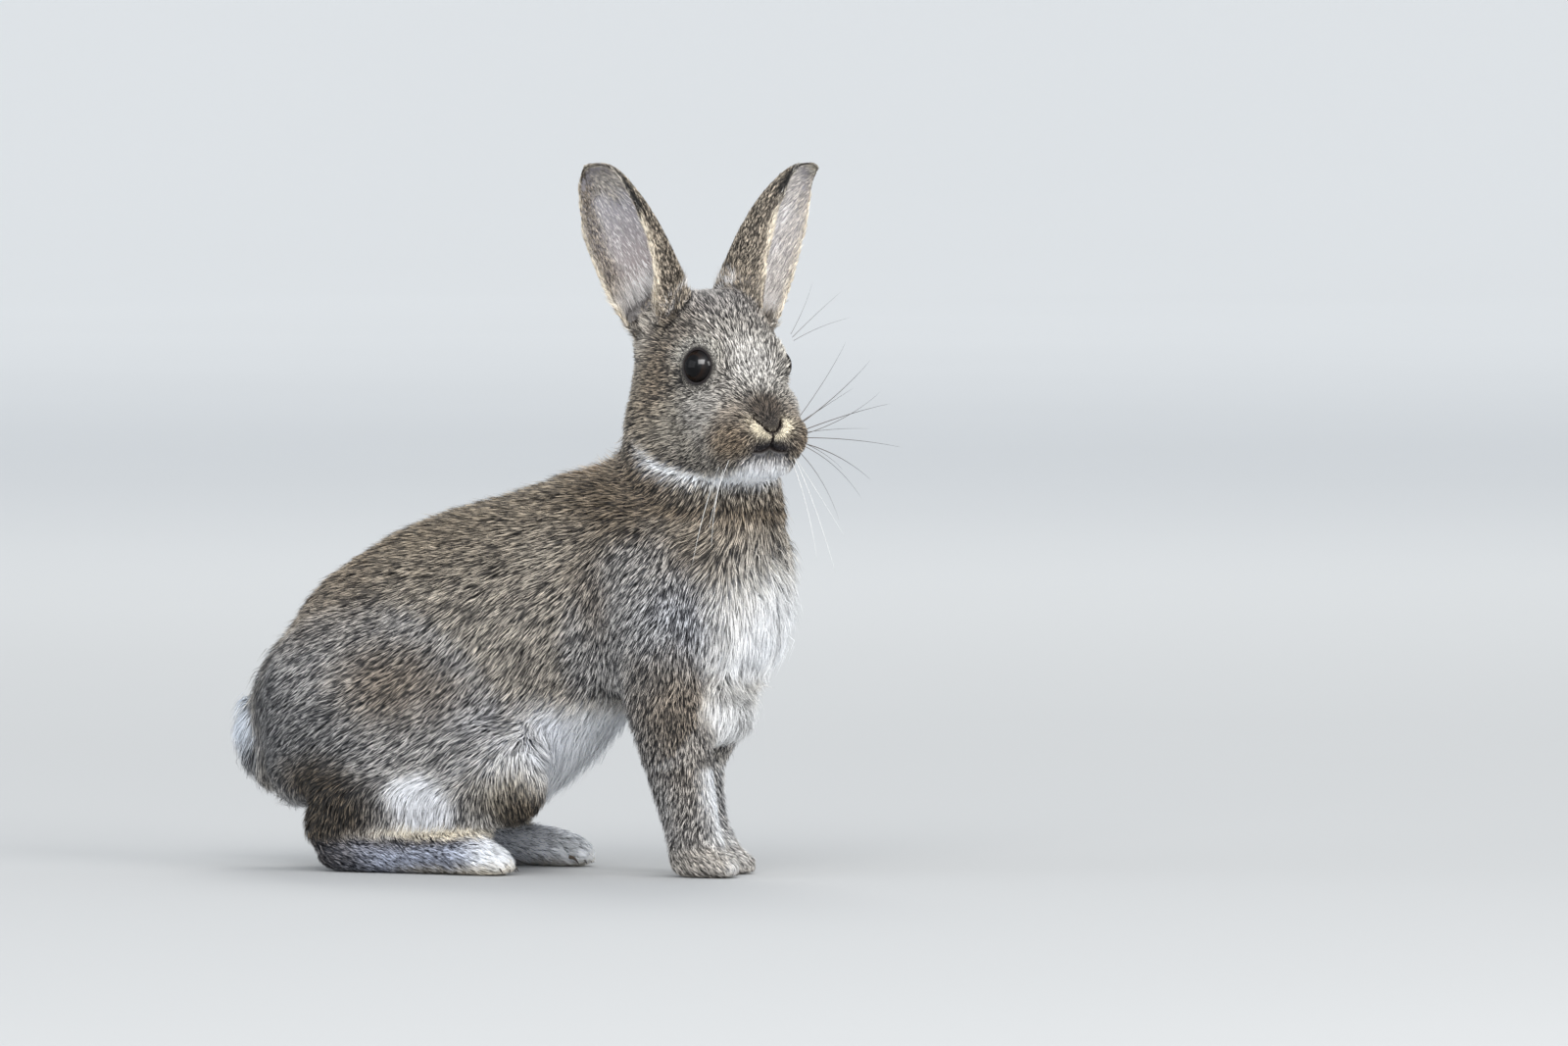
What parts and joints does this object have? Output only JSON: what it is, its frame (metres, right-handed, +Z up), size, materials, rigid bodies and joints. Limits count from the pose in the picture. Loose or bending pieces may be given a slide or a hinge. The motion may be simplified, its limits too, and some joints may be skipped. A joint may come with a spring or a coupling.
{
  "type": "young rabbit figure",
  "caption": "Still, life-size young wild rabbit sitting up on its hind feet, forelegs straight, ears raised, head turned to its right.",
  "frame": {"origin": "middle of the outline seen from above, on the floor that the feet stand on", "axes": "+X the way the body faces, +Y the animal's left, +Z up"},
  "size_m": [0.2078, 0.085, 0.2255],
  "materials": {
    "coat": "grey-brown fur ticked with black and cream",
    "foot_fur": "short buff fur",
    "tail_fur": "white fur",
    "ear_fur": "thin fur outside and bare pink-grey skin inside",
    "eye": "wet, near black"
  },
  "bodies": {
    "root": {"head": "coat", "neck": "coat", "trunk": "coat", "tail": "tail_fur", "ear_right": "ear_fur", "eye_right": "eye", "shoulder_right": "coat", "forearm_right": "coat", "forepaw_right": "foot_fur", "thigh_right": "coat", "shank_right": "coat", "hind_foot_right": "foot_fur", "ear_left": "ear_fur", "eye_left": "eye", "shoulder_left": "coat", "forearm_left": "coat", "forepaw_left": "foot_fur", "thigh_left": "coat", "shank_left": "coat", "hind_foot_left": "foot_fur"}
  },
  "joints": []
}
